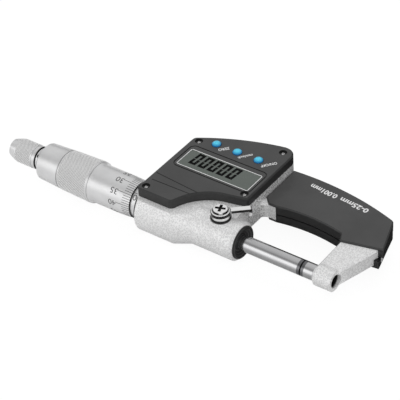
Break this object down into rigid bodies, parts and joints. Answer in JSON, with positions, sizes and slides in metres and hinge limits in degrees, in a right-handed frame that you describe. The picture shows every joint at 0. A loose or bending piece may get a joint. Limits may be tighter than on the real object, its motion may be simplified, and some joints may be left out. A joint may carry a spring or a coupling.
{
  "type": "digital outside micrometer",
  "caption": "Digital outside micrometer with a C-shaped frame, fine-thread measuring spindle, graduated thimble, ratchet stop, spindle clamp and a display with push buttons.",
  "frame": {"origin": "centre of the anvil's measuring face, on the spindle's axis", "axes": "+X along the spindle from the anvil towards the thimble, +Z out of the display, +Y out of the open side of the throat"},
  "size_m": [0.1686, 0.0587, 0.024],
  "materials": {
    "frame_paint": "light grey hammertone enamel",
    "dark_cover": "fine matt, charcoal",
    "display_cover": "fine matt, charcoal",
    "spindle_steel": "ground and polished",
    "carbide": "lapped",
    "satin_chrome": "satin chrome plate",
    "bright_chrome": "polished chrome plate",
    "dark_metal": "black oxide",
    "inner_steel": "machined",
    "contact_spring": "thin strip",
    "rubber_black": "matt",
    "window_clear": "clear acrylic",
    "lcd_glass": "grey-green display glass",
    "button_blue": "glossy light blue",
    "board_green": "solder mask",
    "encoder_plastic": "moulded",
    "ribbon_amber": "flexible film"
  },
  "bodies": {
    "frame": {"frame": "frame_paint", "anvil": "spindle_steel", "anvil_tip": "carbide", "arc_cover_front": "dark_cover", "arc_cover_back": "dark_cover", "spindle_collar": "rubber_black", "display_cover": "display_cover", "cover_screws": "dark_metal", "display_lens": "window_clear", "lcd_panel": "lcd_glass", "zebra_strips": "rubber_black", "circuit_board": "board_green", "tact_switches": "dark_metal", "battery_cell": "spindle_steel", "contact_plus": "contact_spring", "contact_minus": "contact_spring", "lock_washer": "dark_metal", "lock_pad": "inner_steel", "encoder_stator": "encoder_plastic", "encoder_ribbon": "ribbon_amber", "sleeve": "satin_chrome", "inner_sleeve": "inner_steel", "adjusting_nut": "inner_steel"},
    "rotor": {"encoder_rotor": "encoder_plastic"},
    "spindle": {"spindle": "spindle_steel", "spindle_tip": "carbide", "thimble": "satin_chrome", "ratchet_stem": "satin_chrome", "ratchet_screw": "inner_steel"},
    "knob": {"ratchet_knob": "satin_chrome", "ratchet_cap": "bright_chrome", "ratchet_spring": "inner_steel"},
    "lock": {"lock_bolt": "inner_steel", "lock_lever": "bright_chrome", "lock_screw": "bright_chrome"},
    "button_zero": {"button_zero": "button_blue"},
    "button_unit": {"button_unit": "button_blue"},
    "button_power": {"button_power": "button_blue"},
    "battery_cap": {"battery_cap": "dark_cover", "cap_seal": "rubber_black"}
  },
  "joints": [
    {"name": "thimble_turn", "type": "hinge", "parent": "frame", "child": "rotor", "pos_m": [0, 0, 0], "axis": [1, 0, 0], "range_deg": [0, 18000]},
    {"name": "spindle_feed", "type": "slide", "parent": "rotor", "child": "spindle", "axis": [1, 0, 0], "range_m": [0, 0.025]},
    {"name": "ratchet_turn", "type": "hinge", "parent": "spindle", "child": "knob", "pos_m": [0.135, 0, 0], "axis": [1, 0, 0], "continuous": true},
    {"name": "lock_turn", "type": "hinge", "parent": "frame", "child": "lock", "pos_m": [0.0381, 0, 0.009], "axis": [0, 0, 1], "range_deg": [-55, 0]},
    {"name": "zero_press", "type": "slide", "parent": "frame", "child": "button_zero", "axis": [0, 0, -1], "range_m": [0, 0.0005], "stiffness_N_per_m": 800, "springref_m": -0.0015},
    {"name": "unit_press", "type": "slide", "parent": "frame", "child": "button_unit", "axis": [0, 0, -1], "range_m": [0, 0.0005], "stiffness_N_per_m": 800, "springref_m": -0.0015},
    {"name": "power_press", "type": "slide", "parent": "frame", "child": "button_power", "axis": [0, 0, -1], "range_m": [0, 0.0005], "stiffness_N_per_m": 800, "springref_m": -0.0015},
    {"name": "battery_cap_turn", "type": "hinge", "parent": "frame", "child": "battery_cap", "pos_m": [0.057, -0.025, -0.0105], "axis": [0, 0, 1], "range_deg": [0, 50]}
  ],
  "couplings": [
    {"joint": "spindle_feed", "follows": "thimble_turn", "m_per_rad": 0.000079577}
  ]
}
